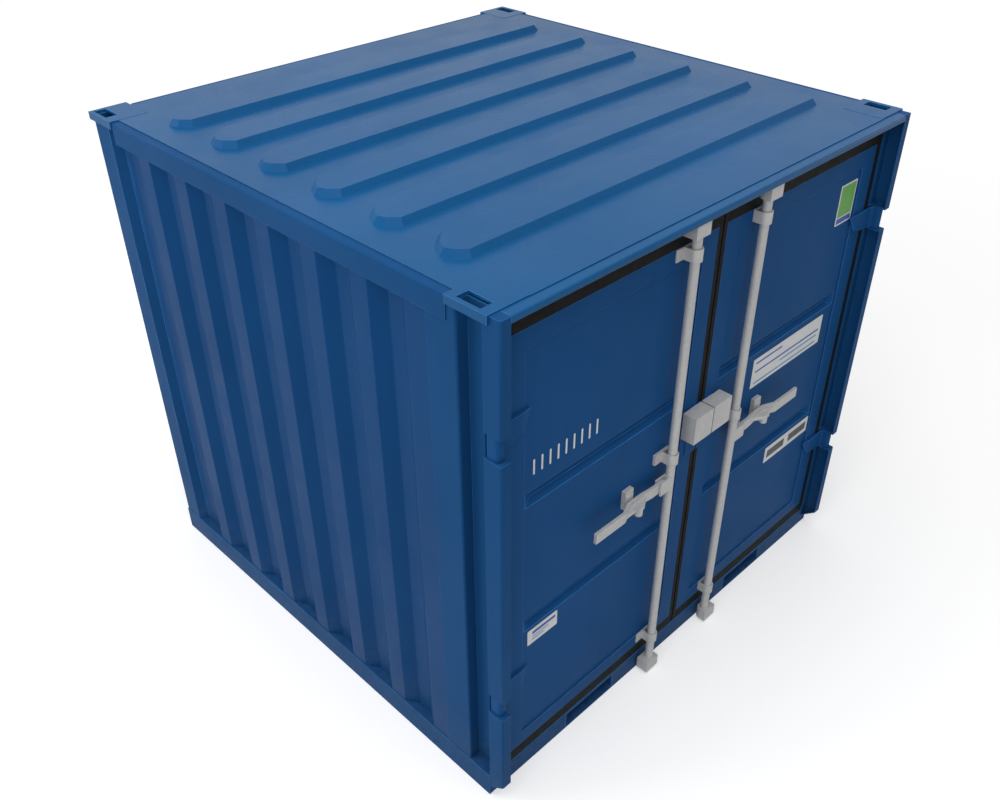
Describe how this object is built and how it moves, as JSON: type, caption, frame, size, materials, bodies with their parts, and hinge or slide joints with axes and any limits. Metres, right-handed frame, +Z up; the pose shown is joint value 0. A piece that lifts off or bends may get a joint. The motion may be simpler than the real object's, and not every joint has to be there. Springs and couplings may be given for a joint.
{
  "type": "steel storage container",
  "caption": "Small blue steel storage container with pressed walls, a ribbed roof, a hinged two-leaf door, turning lock bars with lifting handles, a padlock box and forklift pockets.",
  "frame": {"origin": "on the ground under the middle of the overall box", "axes": "door end faces -Y, +X is to the right when facing the doors, +Z up"},
  "size_m": [1.982, 1.984, 1.894],
  "materials": {
    "body_paint": "satin",
    "door_paint": "satin",
    "lock_gear": "satin",
    "seal": "matte",
    "floor_board": "matte"
  },
  "bodies": {
    "container": {"back_post_left": "body_paint", "back_post_right": "body_paint", "back_wall": "body_paint", "base_rail_back": "body_paint", "base_rail_left": "body_paint", "base_rail_right": "body_paint", "corner_plates": "body_paint", "door_header": "body_paint", "door_sill": "body_paint", "floor": "floor_board", "forklift_pockets": "body_paint", "front_post_left": "body_paint", "front_post_right": "body_paint", "hinge_pins": "body_paint", "roof": "body_paint", "side_wall_left": "body_paint", "side_wall_right": "body_paint", "top_rail_back": "body_paint", "top_rail_left": "body_paint", "top_rail_right": "body_paint"},
    "door_left": {"door_frame_left": "door_paint", "door_panel_left": "door_paint", "door_seal_left": "seal", "hinge_straps_left": "body_paint", "bar_brackets_left": "lock_gear", "handle_retainer_left": "lock_gear", "lock_box_left": "lock_gear", "lock_box_plate_left": "body_paint"},
    "bar_left": {"lock_bar_left": "lock_gear"},
    "handle_left": {"lock_handle_left": "lock_gear"},
    "door_right": {"door_frame_right": "door_paint", "door_panel_right": "door_paint", "door_seal_right": "seal", "hinge_straps_right": "body_paint", "bar_brackets_right": "lock_gear", "handle_retainer_right": "lock_gear", "lock_box_right": "lock_gear", "lock_box_plate_right": "body_paint"},
    "bar_right": {"lock_bar_right": "lock_gear"},
    "handle_right": {"lock_handle_right": "lock_gear"}
  },
  "joints": [
    {"name": "door_left_hinge", "type": "hinge", "parent": "container", "child": "door_left", "pos_m": [-0.963, -0.963, 0.95], "axis": [0, 0, -1], "range_deg": [0, 262]},
    {"name": "door_right_hinge", "type": "hinge", "parent": "container", "child": "door_right", "pos_m": [0.963, -0.963, 0.95], "axis": [0, 0, 1], "range_deg": [0, 262]},
    {"name": "bar_left_turn", "type": "hinge", "parent": "door_left", "child": "bar_left", "pos_m": [-0.176, -0.961, 0.95], "axis": [0, 0, -1], "range_deg": [-90, 0]},
    {"name": "bar_right_turn", "type": "hinge", "parent": "door_right", "child": "bar_right", "pos_m": [0.176, -0.961, 0.95], "axis": [0, 0, 1], "range_deg": [-90, 0]},
    {"name": "handle_left_lift", "type": "hinge", "parent": "bar_left", "child": "handle_left", "pos_m": [-0.215, -0.9605, 0.9175], "axis": [0, -1, 0], "range_deg": [-25, 0]},
    {"name": "handle_right_lift", "type": "hinge", "parent": "bar_right", "child": "handle_right", "pos_m": [0.215, -0.9605, 0.9175], "axis": [0, 1, 0], "range_deg": [-25, 0]}
  ]
}
